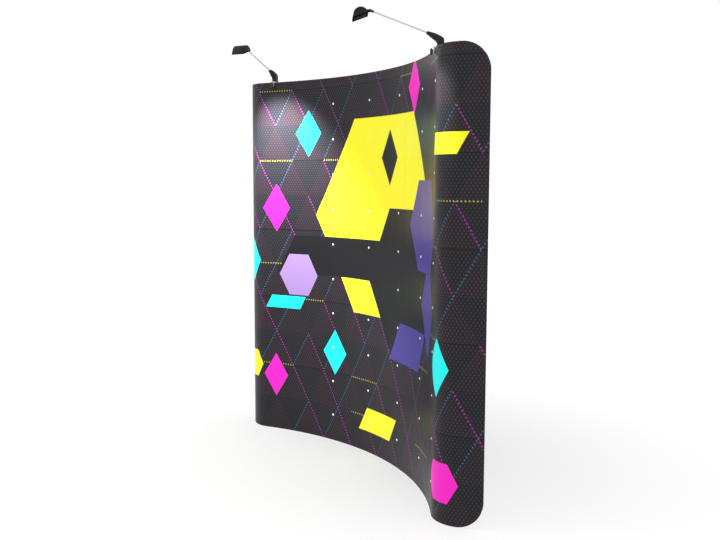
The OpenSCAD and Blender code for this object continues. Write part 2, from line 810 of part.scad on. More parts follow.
module housing() {
    low = face_y + bezel_h + 0.1;
    yoke_x = eye_w / 2 + seat;
    yoke_y = head_r - 6;
    color("#303131") head_place() difference() {
        union() {
            intersection() {
                across(head_w) head_outline(0, low);
                head_ends(0);
            }
            // The two cheeks of the yoke narrow towards the tilt pin
            for (x = [-yoke_x - yoke_t / 2, yoke_x + yoke_t / 2]) translate([x, 0, 0]) {
                across(yoke_t) polygon([[-yoke_y, low + 4], [-yoke_y, tilt_y + 10],
                    [tilt_x, tilt_y + 6], [tilt_x, tilt_y - 6]]);
                translate([0, -tilt_x, tilt_y]) rotate([0, 90, 0]) cylinder(r = 6, h = yoke_t, center = true);
            }
        }
        intersection() {
            across(head_w - 2 * head_wall) head_outline(head_wall, low - 1);
            head_ends(head_wall);
        }
        translate([0, -tilt_x, tilt_y]) rotate([0, 90, 0])
            cylinder(r = pin_r + run_fit, h = 40, center = true);
        for (m = [-2:2]) translate([m * 13 - 4, -14, head_r - 14]) cube([8, 3, 30]);
        for (m = [-2:2]) translate([m * 13 - 4, -4, head_r - 14]) cube([8, 3, 30]);
    }
}

module bezel() {
    tip = [visor_x, face_y];
    touch = visor_touch(head_r, tip);
    lean = (head_r * cos(touch) - visor_x) / (head_r * sin(touch) - face_y);
    color("#1b1c1c") head_place() difference() {
        intersection() {
            across(head_w) polygon([[-head_r + 0.8, face_y], tip,
                [visor_x + lean * bezel_h, face_y + bezel_h], [-head_r, face_y + bezel_h]]);
            head_ends(0);
        }
        pocket(face_y - 1, 20, 2);
        pocket(lip_z, 20, 0);
    }
}

// The pocket over the bezel's lip, in which the glass and the reflector's flange lie
module pocket(z, h, gap) {
    translate([-head_w / 2 + 4 + gap, -visor_x + 7 + gap, z])
        cube([head_w - 8 - 2 * gap, visor_x - back_x - 11 - 2 * gap, h]);
}

module lens() {
    color([0.8, 0.85, 0.9, 0.4]) head_place() pocket(lip_z + run_fit, glass_t, seat);
}

module reflector() {
    low = lip_z + glass_t + seat;
    mouth = sqrt(pow(trough_r - 1, 2) - pow(low, 2));
    color("lightgray") head_place() {
        translate([0, trough_y, 0]) difference() {
            rotate([0, 90, 0]) cylinder(r = trough_r, h = head_w - 22, center = true);
            rotate([0, 90, 0]) cylinder(r = trough_r - 1, h = head_w, center = true);
            translate([-60, -60, low - 80 + 0.5]) cube([120, 120, 80]);
        }
        difference() {
            pocket(low, 1, seat);
            translate([-head_w / 2 + 11, trough_y - mouth, low - 1]) cube([head_w - 22, 2 * mouth, 3]);
        }
    }
}

module bulb() {
    post_top = sqrt(pow(trough_r - 1, 2) - 36) - seat;
    color("white") head_place() translate([0, trough_y, bulb_z]) {
        rotate([0, 90, 0]) cylinder(r = 5, h = 46, center = true);
        for (m = [0, 1]) mirror([m, 0, 0]) translate([23, -6, -6]) cube([7, 12, post_top - bulb_z + 6]);
    }
}

module lamp_part(s, p) {
    lamp_place(s) {
        if (p == "clamp") clamp();
        if (p == "clamp_pad") clamp_pad();
        if (p == "clamp_screw") clamp_screw();
        if (p == "clamp_knob") clamp_knob();
        if (p == "elbow") elbow();
        if (p == "rod") rod();
        if (p == "rod_end") rod_end();
        if (p == "tilt_pin") tilt_pin();
        if (p == "housing") housing();
        if (p == "bezel") bezel();
        if (p == "reflector") reflector();
        if (p == "lens") lens();
        if (p == "bulb") bulb();
    }
}

front_panel(0);  // front_panel_left
front_panel(1);  // front_panel_middle
front_panel(2);  // front_panel_right
end_cap(-1);  // end_cap_left
end_cap(1);  // end_cap_right
hub_column(0);  // hub_column_1
hub_column(1);  // hub_column_2
hub_column(2);  // hub_column_3
hub_column(3);  // hub_column_4
bay_tubes(0);  // bay_tubes_1
bay_tubes(1);  // bay_tubes_2
bay_tubes(2);  // bay_tubes_3
column_tubes(0);  // column_tubes_1
column_tubes(1);  // column_tubes_2
column_tubes(2);  // column_tubes_3
column_tubes(3);  // column_tubes_4
crossing_rivets();
hub_pins();
front_bars();
cap_bars();
bar_joiners();
cap_arms();
cap_brackets();
magnet_strips();
top_rails();
stud_caps();
stud_washers();
foot_stems();
foot_pads();
lock_arm(0);  // lock_arm_1
lock_arm(1);  // lock_arm_2
lock_arm(2);  // lock_arm_3
lock_arm(3);  // lock_arm_4
lamp_part("left", "clamp");  // lamp_left_clamp
lamp_part("left", "clamp_pad");  // lamp_left_clamp_pad
lamp_part("left", "clamp_screw");  // lamp_left_clamp_screw
lamp_part("left", "clamp_knob");  // lamp_left_clamp_knob
lamp_part("left", "elbow");  // lamp_left_elbow
lamp_part("left", "rod");  // lamp_left_rod
lamp_part("left", "rod_end");  // lamp_left_rod_end
lamp_part("left", "tilt_pin");  // lamp_left_tilt_pin
lamp_part("left", "housing");  // lamp_left_housing
lamp_part("left", "bezel");  // lamp_left_bezel
lamp_part("left", "reflector");  // lamp_left_reflector
lamp_part("left", "lens");  // lamp_left_lens
lamp_part("left", "bulb");  // lamp_left_bulb
lamp_part("right", "clamp");  // lamp_right_clamp
lamp_part("right", "clamp_pad");  // lamp_right_clamp_pad
lamp_part("right", "clamp_screw");  // lamp_right_clamp_screw
lamp_part("right", "clamp_knob");  // lamp_right_clamp_knob
lamp_part("right", "elbow");  // lamp_right_elbow
lamp_part("right", "rod");  // lamp_right_rod
lamp_part("right", "rod_end");  // lamp_right_rod_end
lamp_part("right", "tilt_pin");  // lamp_right_tilt_pin
lamp_part("right", "housing");  // lamp_right_housing
lamp_part("right", "bezel");  // lamp_right_bezel
lamp_part("right", "reflector");  // lamp_right_reflector
lamp_part("right", "lens");  // lamp_right_lens
lamp_part("right", "bulb");  // lamp_right_bulb
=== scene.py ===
import bpy
import json
import math
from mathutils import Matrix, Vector

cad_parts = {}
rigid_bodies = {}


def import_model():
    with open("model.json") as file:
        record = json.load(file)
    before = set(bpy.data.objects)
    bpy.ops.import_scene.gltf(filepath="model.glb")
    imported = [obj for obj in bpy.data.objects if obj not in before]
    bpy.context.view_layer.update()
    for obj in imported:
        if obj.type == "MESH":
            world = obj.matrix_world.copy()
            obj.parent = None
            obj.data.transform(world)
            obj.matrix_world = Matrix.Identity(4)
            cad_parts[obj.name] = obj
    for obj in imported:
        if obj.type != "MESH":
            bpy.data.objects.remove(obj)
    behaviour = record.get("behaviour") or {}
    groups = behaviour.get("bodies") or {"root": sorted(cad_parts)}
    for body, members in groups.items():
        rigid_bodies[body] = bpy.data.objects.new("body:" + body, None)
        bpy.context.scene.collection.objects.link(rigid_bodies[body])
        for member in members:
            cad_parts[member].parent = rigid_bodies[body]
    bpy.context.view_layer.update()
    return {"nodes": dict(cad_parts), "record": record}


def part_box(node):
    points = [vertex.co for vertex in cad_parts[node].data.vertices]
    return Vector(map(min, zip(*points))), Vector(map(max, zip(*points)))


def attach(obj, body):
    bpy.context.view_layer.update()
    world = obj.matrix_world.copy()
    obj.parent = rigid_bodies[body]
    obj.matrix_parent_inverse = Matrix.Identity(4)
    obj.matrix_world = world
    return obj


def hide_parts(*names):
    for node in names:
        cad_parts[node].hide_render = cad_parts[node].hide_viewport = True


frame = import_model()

nodes = frame["nodes"]

# The camera stands where the photograph was taken from: metres, degrees and millimetres
viewpoint = {"place": (4.18499, -2.53173, 1.60204), "turn": (84.2705, -0.1877, 58.0510),
             "lens": 43.697, "sensor": 36}
cameraData = bpy.data.cameras.new("camera")
cameraData.sensor_width = viewpoint["sensor"]
cameraData.lens = viewpoint["lens"]
camera = bpy.data.objects.new("camera", cameraData)
bpy.context.scene.collection.objects.link(camera)
camera.location = viewpoint["place"]
camera.rotation_euler = [math.radians(angle) for angle in viewpoint["turn"]]
bpy.context.scene.camera = camera
bpy.context.scene.view_settings.view_transform = "Standard"
print("camera set")

# The wall's curve, as the part has it, in metres and degrees
wall = {"radius": 1.626, "centreY": -1.428, "panelWide": 0.634,
        "capRadius": 0.165, "capTurn": 73.5}
wallEnd = 1.5 * wall["panelWide"] / wall["radius"]  # to the end seam, 1.5 panels out, in radians
capTurn = math.radians(wall["capTurn"])
capReach = wall["radius"] + wall["capRadius"]
capMiddle = (capReach * math.sin(wallEnd), wall["centreY"] + capReach * math.cos(wallEnd), 0)

# Kinds of node used all over. In a colour mix the share is input 0, the colours are inputs 6
# and 7, and the result is output 2
plainMath, vectorMath = "ShaderNodeMath", "ShaderNodeVectorMath"
splitter, joiner = "ShaderNodeSeparateXYZ", "ShaderNodeCombineXYZ"
mixer, inColour = "ShaderNodeMix", {"data_type": "RGBA"}


def colour(text):
    parts = [int(text[i:i + 2], 16) / 255 for i in (1, 3, 5)]
    return [c / 12.92 if c <= 0.04045 else ((c + 0.055) / 1.055) ** 2.4 for c in parts] + [1.0]


def addNode(tree, kind, settings=None, inputs=None):  # inputs hold a value, a node or an output
    node = tree.nodes.new(kind)
    for name, value in (settings or {}).items():
        setattr(node, name, value)
    for key, value in (inputs or {}).items():
        if isinstance(value, bpy.types.Node):
            value = value.outputs[0]
        if isinstance(value, bpy.types.NodeSocket):
            tree.links.new(value, node.inputs[key])
        else:
            node.inputs[key].default_value = value
    return node


def newMaterial(name):
    material = bpy.data.materials.new(name)
    material.use_nodes = True
    tree = material.node_tree
    tree.nodes.clear()
    shader = addNode(tree, "ShaderNodeBsdfPrincipled")
    addNode(tree, "ShaderNodeOutputMaterial", None, {0: shader})
    return material, tree, shader


def giveMaterial(material, names):
    for name in names:
        nodes[name].data.materials.clear()
        nodes[name].data.materials.append(material)


def ending(*ends):
    return [name for name in nodes if name.endswith(ends)]


def starting(*starts):
    return [name for name in nodes if name.startswith(starts)]


# Laminated print film: inkjet print under a satin over-laminate, so that colours stay deep and
# highlights soft, with light film on the back. Lengths in metres. The satin's real grain is much
# finer than a pixel, so it is drawn 2.5 mm wide
printLook = {
    "tintA": "#241d23", "tintB": "#1c1c21", "meshA": "#3d333a", "meshB": "#333339",
    "rule": "#141418", "magenta": "#f724c4", "cyan": "#1cf2f2", "yellow": "#fdf42a",
    "violet": "#4a3f92", "night": "#17171b", "lilac": "#9c80b8", "film": "#9a9b9e",
    "dotPink": "#9c2a92", "dotBlue": "#2c5f80", "dotYellow": "#aaa430", "edge": "#131316",
    "cellWide": 0.250, "cellHigh": 0.217, "lineGap": 0.8661, "ruleHalf": 0.003,  # lattice
    "meshWide": 0.0192, "meshHigh": 0.0143, "meshOval": (1.2, 0.85),  # mesh of soft ovals
    "meshInner": 0.0026, "meshOuter": 0.0062,
    "dotPitch": 0.0185, "dotRadius": 0.0042, "lineMissing": 0.3, "lineSeed": 3.7,  # dotted lines
    "dashMissing": 0.82, "capFrom": 0.95, "motifMargin": 1.2, "facingLeast": 0.3,
    "ior": 1.5, "specular": 0.16, "rough": (0.34, 0.46), "grain": 0.0025,  # over-laminate
    "wave": 1 / 3, "waveDepth": 0.004, "relief": 0.25, "detail": 2.0}
cosine60, sine60, tangent30 = 0.5, 0.866, 0.5774  # slopes of the lattice and of the motifs

# Flat motifs, back to front: form, middle (along the wall, up) and half sizes in metres, colour
motifs = [
    ("hexagon", (0.10, 1.40), (0.66, 0.66), "yellow"),
    ("hexagon", (0.36, 1.06), (0.46, 0.46), "night"),
    ("bar", (-0.28, 1.15), (0.52, 0.12), "night"),
    ("hexagon", (0.66, 1.38), (0.27, 0.27), "violet"),
    ("bar", (0.40, 0.72), (0.20, 0.11), "violet"),
    ("rhombus", (0.74, 0.98), (0.15, 0.26), "violet"),
    ("hexagon", (-0.70, 1.02), (0.15, 0.15), "lilac"),
    ("bar", (-0.80, 0.84), (0.13, 0.04), "cyan"),
    ("rhombus", (0.13, 1.74), (0.09, 0.155), "night"),
    ("rhombus", (-0.62, 1.90), (0.10, 0.14), "cyan"),
    ("rhombus", (0.44, 2.10), (0.085, 0.145), "magenta"),
    ("rhombus", (-0.87, 1.44), (0.10, 0.15), "magenta"),
    ("rhombus", (-0.40, 0.56), (0.10, 0.14), "cyan"),
    ("hexagon", (-0.46, 1.42), (0.09, 0.09), "yellow"),
    ("bar", (0.02, 0.20), (0.16, 0.07), "yellow"),
    ("rhombus", (-0.88, 0.36), (0.09, 0.14), "magenta"),
    ("rhombus", (1.02, 0.74), (0.085, 0.14), "cyan"),
    ("hexagon", (1.05, 0.20), (0.11, 0.11), "magenta"),
    ("bar", (1.04, 1.78), (0.12, 0.05), "yellow"),
    ("rhombus", (-1.08, 1.10), (0.085, 0.14), "cyan"),
    ("hexagon", (-1.08, 0.42), (0.10, 0.10), "yellow")]


def mapPanel(tree, axes):  # length along the curved front from the wall's middle
    depth = addNode(tree, plainMath, {"operation": "SUBTRACT"},
                    {0: axes.outputs[1], 1: wall["centreY"]})
    angle = addNode(tree, plainMath, {"operation": "ARCTAN2"}, {0: axes.outputs[0], 1: depth})
    return addNode(tree, plainMath, {"operation": "MULTIPLY"}, {0: angle, 1: wall["radius"]})


def mapCap(tree, axes):  # the same length carried on round the cap's bend and straight run
    size = addNode(tree, plainMath, {"operation": "ABSOLUTE"}, {0: axes.outputs[0]})
    sign = addNode(tree, plainMath, {"operation": "SIGN"}, {0: axes.outputs[0]})
    local = addNode(tree, joiner, None, {0: size, 1: axes.outputs[1]})
    local = addNode(tree, vectorMath, {"operation": "SUBTRACT"}, {0: local, 1: capMiddle})
    shares = []
    for direction in ((-math.sin(wallEnd), -math.cos(wallEnd), 0),
                      (math.cos(wallEnd), -math.sin(wallEnd), 0),
                      (math.cos(wallEnd - capTurn), -math.sin(wallEnd - capTurn), 0)):
        shares.append(addNode(tree, vectorMath, {"operation": "DOT_PRODUCT"},
                              {0: local, 1: direction}).outputs["Value"])
    start, onward, run = shares
    angle = addNode(tree, plainMath, {"operation": "ARCTAN2"}, {0: onward, 1: start})
    angle = addNode(tree, plainMath, {"operation": "MINIMUM"}, {0: angle, 1: capTurn})
    bend = addNode(tree, plainMath, {"operation": "MULTIPLY"}, {0: angle, 1: wall["capRadius"]})
    run = addNode(tree, plainMath, {"operation": "MAXIMUM"}, {0: run, 1: 0.0})
    total = addNode(tree, plainMath, {"operation": "ADD"}, {0: bend, 1: run})
    total = addNode(tree, plainMath, {"operation": "ADD"},
                    {0: total, 1: wallEnd * wall["radius"]})
    return addNode(tree, plainMath, {"operation": "MULTIPLY"}, {0: total, 1: sign})


def facingOf(tree, place, normal, isCap):  # 1 on the print, -1 on the back, near 0 on cut edges
    if isCap:
        away = addNode(tree, vectorMath, {"operation": "ABSOLUTE"}, {0: place})
        signed = addNode(tree, splitter, None, {0: place})
        flat = addNode(tree, splitter, None, {0: away})
        side = addNode(tree, plainMath, {"operation": "SIGN"}, {0: signed.outputs[0]})
        away = addNode(tree, joiner, None, {0: flat.outputs[0], 1: signed.outputs[1]})
        away = addNode(tree, vectorMath, {"operation": "SUBTRACT"}, {0: away, 1: capMiddle})
        flip = addNode(tree, joiner, None, {0: side, 1: 1.0, 2: 1.0})
        away = addNode(tree, vectorMath, {"operation": "MULTIPLY"}, {0: away, 1: flip})
    else:
        away = addNode(tree, vectorMath, {"operation": "MULTIPLY"}, {0: place, 1: (1, 1, 0)})
        away = addNode(tree, vectorMath, {"operation": "SUBTRACT"},
                       {0: away, 1: (0, wall["centreY"], 0)})
    away = addNode(tree, vectorMath, {"operation": "NORMALIZE"}, {0: away})
    turned = addNode(tree, vectorMath, {"operation": "DOT_PRODUCT"},
                     {0: away, 1: normal}).outputs["Value"]
    return addNode(tree, plainMath, {"operation": "MULTIPLY"},
                   {0: turned, 1: 1.0 if isCap else -1.0})


def stepsAlong(tree, spot, direction, pitch, size):  # how far from its step's middle, in sizes
    position = addNode(tree, vectorMath, {"operation": "DOT_PRODUCT"}, {
        0: spot, 1: (direction[0] / pitch, direction[1] / pitch, 0)}).outputs["Value"]
    share = addNode(tree, plainMath, {"operation": "FRACT"}, {0: position})
    share = addNode(tree, plainMath, {"operation": "SUBTRACT"}, {0: share, 1: 0.5})
    return addNode(tree, plainMath, {"operation": "MULTIPLY"}, {0: share, 1: pitch / size})


def slantCounts(tree, spot, wide, high):  # cells passed along the two slanted families
    return [addNode(tree, vectorMath, {"operation": "DOT_PRODUCT"}, {
        0: spot, 1: (1 / wide, lean / (2 * high), 0)}).outputs["Value"] for lean in (1, -1)]


def insideDot(tree, across, onward):  # 1 within one radius of the dot's middle
    pair = addNode(tree, joiner, None, {0: across, 1: onward})
    pair = addNode(tree, vectorMath, {"operation": "LENGTH"}, {0: pair}).outputs["Value"]
    return addNode(tree, plainMath, {"operation": "LESS_THAN"}, {0: pair, 1: 1.0})


def keptByChance(tree, dot, cell, missing):  # leaves out a share of the dots, cell by cell
    chance = addNode(tree, "ShaderNodeTexWhiteNoise", {"noise_dimensions": "3D"}, {0: cell})
    chance = addNode(tree, plainMath, {"operation": "GREATER_THAN"},
                     {0: chance.outputs["Value"], 1: missing})
    return addNode(tree, plainMath, {"operation": "MULTIPLY"}, {0: dot, 1: chance})


def latticeTints(tree, up, slants):  # ground and mesh colour, A in triangles that point up
    look = printLook
    cells = [addNode(tree, plainMath, {"operation": "FLOOR"}, {0: count}) for count in slants]
    band = addNode(tree, plainMath, {"operation": "DIVIDE"}, {0: up, 1: look["cellHigh"]})
    band = addNode(tree, plainMath, {"operation": "FLOOR"}, {0: band})
    parity = addNode(tree, plainMath, {"operation": "SUBTRACT"}, {0: cells[0], 1: cells[1]})
    parity = addNode(tree, plainMath, {"operation": "SUBTRACT"}, {0: parity, 1: band})
    return [addNode(tree, mixer, inColour, {
        0: parity, 6: colour(look[kind + "A"]), 7: colour(look[kind + "B"])}).outputs[2]
        for kind in ("tint", "mesh")]


def meshOver(tree, spot, base, raised):  # soft staggered ovals, 19 mm apart, rows 14 mm apart
    look = printLook
    shares = []
    for count in slantCounts(tree, spot, look["meshWide"], look["meshHigh"]):
        share = addNode(tree, plainMath, {"operation": "FRACT"}, {0: count})
        shares.append(addNode(tree, plainMath, {"operation": "SUBTRACT"}, {0: share, 1: 0.5}))
    across = addNode(tree, plainMath, {"operation": "ADD"}, {0: shares[0], 1: shares[1]})
    upward = addNode(tree, plainMath, {"operation": "SUBTRACT"}, {0: shares[0], 1: shares[1]})
    offset = addNode(tree, joiner, None, {0: across, 1: upward})
    offset = addNode(tree, vectorMath, {"operation": "MULTIPLY"}, {
        0: offset, 1: (look["meshOval"][0] * look["meshWide"] / 2,
                       look["meshOval"][1] * look["meshHigh"], 0)})
    offset = addNode(tree, vectorMath, {"operation": "LENGTH"}, {0: offset}).outputs["Value"]
    oval = addNode(tree, "ShaderNodeMapRange", {"interpolation_type": "SMOOTHSTEP"}, {
        "Value": offset, "From Min": look["meshOuter"], "From Max": look["meshInner"],
        "To Min": 0.0, "To Max": 1.0})
    return addNode(tree, mixer, inColour, {0: oval, 6: base, 7: raised}).outputs[2]


def levelRules(tree, spot, base):  # dark rules, 6 mm high, on every second row
    look = printLook
    row = stepsAlong(tree, spot, (0, 1), 2 * look["cellHigh"], 1.0)
    row = addNode(tree, plainMath, {"operation": "ABSOLUTE"}, {0: row})
    row = addNode(tree, plainMath, {"operation": "GREATER_THAN"},
                  {0: row, 1: look["cellHigh"] - look["ruleHalf"]})
    return addNode(tree, mixer, inColour, {0: row, 6: base, 7: colour(look["rule"])}).outputs[2]


def slantedDots(tree, spot, slants, base):  # 8 mm dots, 18.5 mm apart, on most slanted lines
    look = printLook
    reach = look["cellWide"] * look["lineGap"] / look["dotRadius"]  # line to line, in radii
    for lean, count, other, tone in ((1, slants[0], slants[1], "dotPink"),
                                     (-1, slants[1], slants[0], "dotBlue")):
        nearest = addNode(tree, plainMath, {"operation": "ROUND"}, {0: count})
        side = addNode(tree, plainMath, {"operation": "SUBTRACT"}, {0: count, 1: nearest})
        side = addNode(tree, plainMath, {"operation": "MULTIPLY"}, {0: side, 1: reach})
        step = stepsAlong(tree, spot, (-lean * cosine60, sine60), look["dotPitch"],
                          look["dotRadius"])
        dot = insideDot(tree, side, step)
        block = addNode(tree, plainMath, {"operation": "FLOOR"}, {0: other})
        block = addNode(tree, joiner, None, {0: nearest, 1: block, 2: look["lineSeed"] * lean})
        dot = keptByChance(tree, dot, block, look["lineMissing"])
        base = addNode(tree, mixer, inColour, {0: dot, 6: base, 7: colour(look[tone])}).outputs[2]
    return base


def levelDashes(tree, spot, base):  # short yellow dotted dashes on some level rows
    look = printLook
    wide, high, radius = look["cellWide"], look["cellHigh"], look["dotRadius"]
    level = stepsAlong(tree, spot, (0, 1), high, radius)
    level = addNode(tree, plainMath, {"operation": "ABSOLUTE"}, {0: level})
    level = addNode(tree, plainMath, {"operation": "SUBTRACT"},
                    {0: 0.5 * high / radius, 1: level})
    dot = insideDot(tree, level, stepsAlong(tree, spot, (1, 0), look["dotPitch"], radius))
    cell = addNode(tree, vectorMath, {"operation": "MULTIPLY"},
                   {0: spot, 1: (1 / wide, 1 / high, 0)})
    cell = addNode(tree, vectorMath, {"operation": "ADD"}, {0: cell, 1: (0, 0.5, 0)})
    cell = addNode(tree, vectorMath, {"operation": "FLOOR"}, {0: cell})
    dot = keptByChance(tree, dot, cell, look["dashMissing"])
    return addNode(tree, mixer, inColour,
                   {0: dot, 6: base, 7: colour(look["dotYellow"])}).outputs[2]


def motifMask(tree, spot, form, middle, half):  # 1 inside the form
    slopes = {"rhombus": [(1 / half[0], 1 / half[1], 0)],
              "hexagon": [(1 / half[0], cosine60 / half[0] / sine60, 0),
                          (0, 1 / half[0] / sine60, 0)],
              "bar": [(1 / half[0], -tangent30 / half[0], 0), (0, 1 / half[1], 0)]}
    away = addNode(tree, vectorMath, {"operation": "SUBTRACT"}, {0: spot, 1: (*middle, 0)})
    if form != "bar":
        away = addNode(tree, vectorMath, {"operation": "ABSOLUTE"}, {0: away})
    sides = [addNode(tree, vectorMath, {"operation": "DOT_PRODUCT"},
                     {0: away, 1: slope}).outputs["Value"] for slope in slopes[form]]
    if form == "bar":
        sides = [addNode(tree, plainMath, {"operation": "ABSOLUTE"}, {0: side}) for side in sides]
    reach = sides[0]
    for side in sides[1:]:
        reach = addNode(tree, plainMath, {"operation": "MAXIMUM"}, {0: reach, 1: side})
    return addNode(tree, plainMath, {"operation": "LESS_THAN"}, {0: reach, 1: 1.0})


def motifsOver(tree, spot, base, isCap):  # only those that reach onto this kind of panel
    look = printLook
    for form, middle, half, tone in motifs:
        away, margin = abs(middle[0]), half[0] * look["motifMargin"]
        onCap, onFront = away + margin >= look["capFrom"], away - margin <= look["capFrom"]
        if onCap if isCap else onFront:
            mask = motifMask(tree, spot, form, middle, half)
            base = addNode(tree, mixer, inColour,
                           {0: mask, 6: base, 7: colour(look[tone])}).outputs[2]
    return base


def printMaterial(name, isCap):
    material, tree, shader = newMaterial(name)
    look = printLook
    coordinates = addNode(tree, "ShaderNodeTexCoord")
    place, normal = coordinates.outputs["Object"], coordinates.outputs["Normal"]
    axes = addNode(tree, splitter, None, {0: place})
    along, up = mapCap(tree, axes) if isCap else mapPanel(tree, axes), axes.outputs[2]
    spot = addNode(tree, joiner, None, {0: along, 1: up})
    slants = slantCounts(tree, spot, look["cellWide"], look["cellHigh"])
    base, raised = latticeTints(tree, up, slants)
    base = meshOver(tree, spot, base, raised)
    base = levelRules(tree, spot, base)
    base = slantedDots(tree, spot, slants, base)
    base = levelDashes(tree, spot, base)
    base = motifsOver(tree, spot, base, isCap)
    # the print is on the visitors' side alone: dark cut edges, light film behind
    facing, least = facingOf(tree, place, normal, isCap), look["facingLeast"]
    front = addNode(tree, plainMath, {"operation": "GREATER_THAN"}, {0: facing, 1: least})
    back = addNode(tree, plainMath, {"operation": "LESS_THAN"}, {0: facing, 1: -least})
    base = addNode(tree, mixer, inColour, {0: front, 6: colour(look["edge"]), 7: base}).outputs[2]
    base = addNode(tree, mixer, inColour, {0: back, 6: base, 7: colour(look["film"])}).outputs[2]
    tree.links.new(base, shader.inputs["Base Color"])
    shader.inputs["IOR"].default_value = look["ior"]
    shader.inputs["Specular IOR Level"].default_value = look["specular"]
    # the over-laminate lies in slight waves a third of a metre long, and its satin varies a little
    waves = addNode(tree, "ShaderNodeTexNoise", None, {
        "Vector": place, "Scale": 1 / look["wave"], "Detail": look["detail"]})
    grain = addNode(tree, "ShaderNodeTexNoise", None, {
        "Vector": place, "Scale": 1 / look["grain"], "Detail": look["detail"]})
    rough = addNode(tree, "ShaderNodeMapRange", None, {
        "Value": grain, "To Min": look["rough"][0], "To Max": look["rough"][1]})
    tree.links.new(rough.outputs[0], shader.inputs["Roughness"])
    bump = addNode(tree, "ShaderNodeBump", None, {
        "Strength": look["relief"], "Distance": look["waveDepth"], "Height": waves})
    tree.links.new(bump.outputs[0], shader.inputs["Normal"])
    return material


giveMaterial(printMaterial("laminatedPrint", False), starting("front_panel"))
giveMaterial(printMaterial("laminatedPrintOnCap", True), starting("end_cap"))
print("panels done")

# What the plain finishes share: soft clouds of a second tone, 71 mm across, and how far the
# grain varies the roughness and stands out
surface = {"cloud": 1000 / 14, "cloudDetail": 2.0, "grainDetail": 3.0,
           "smoother": 0.07, "rougher": 0.09, "relief": 0.35}


# Grain and depth are in millimetres. Most real grains are 0.1 to 0.3 mm wide and wouldn't show,
# so they are drawn 0.7 to 3 mm wide
def finishMaterial(name, look):
    material, tree, shader = newMaterial(name)
    place = addNode(tree, "ShaderNodeTexCoord").outputs["Object"]
    grain = addNode(tree, "ShaderNodeTexNoise", None, {
        "Vector": place, "Scale": 1000 / look["grain"], "Detail": surface["grainDetail"]})
    cloud = addNode(tree, "ShaderNodeTexNoise", None, {
        "Vector": place, "Scale": 1000 / surface["cloud"], "Detail": surface["cloudDetail"]})
    base = addNode(tree, mixer, inColour, {
        0: cloud, 6: colour(look["tone"]), 7: colour(look["other"])}).outputs[2]
    tree.links.new(base, shader.inputs["Base Color"])
    shader.inputs["Metallic"].default_value = look["metallic"]
    shader.inputs["Specular IOR Level"].default_value = look["shine"]
    spread = addNode(tree, "ShaderNodeMapRange", None, {
        "Value": grain, "To Min": look["rough"] - surface["smoother"],
        "To Max": look["rough"] + surface["rougher"]})
    tree.links.new(spread.outputs[0], shader.inputs["Roughness"])
    bump = addNode(tree, "ShaderNodeBump", None, {
        "Strength": surface["relief"], "Distance": look["depth"] / 1000, "Height": grain})
    tree.links.new(bump.outputs[0], shader.inputs["Normal"])
    return material


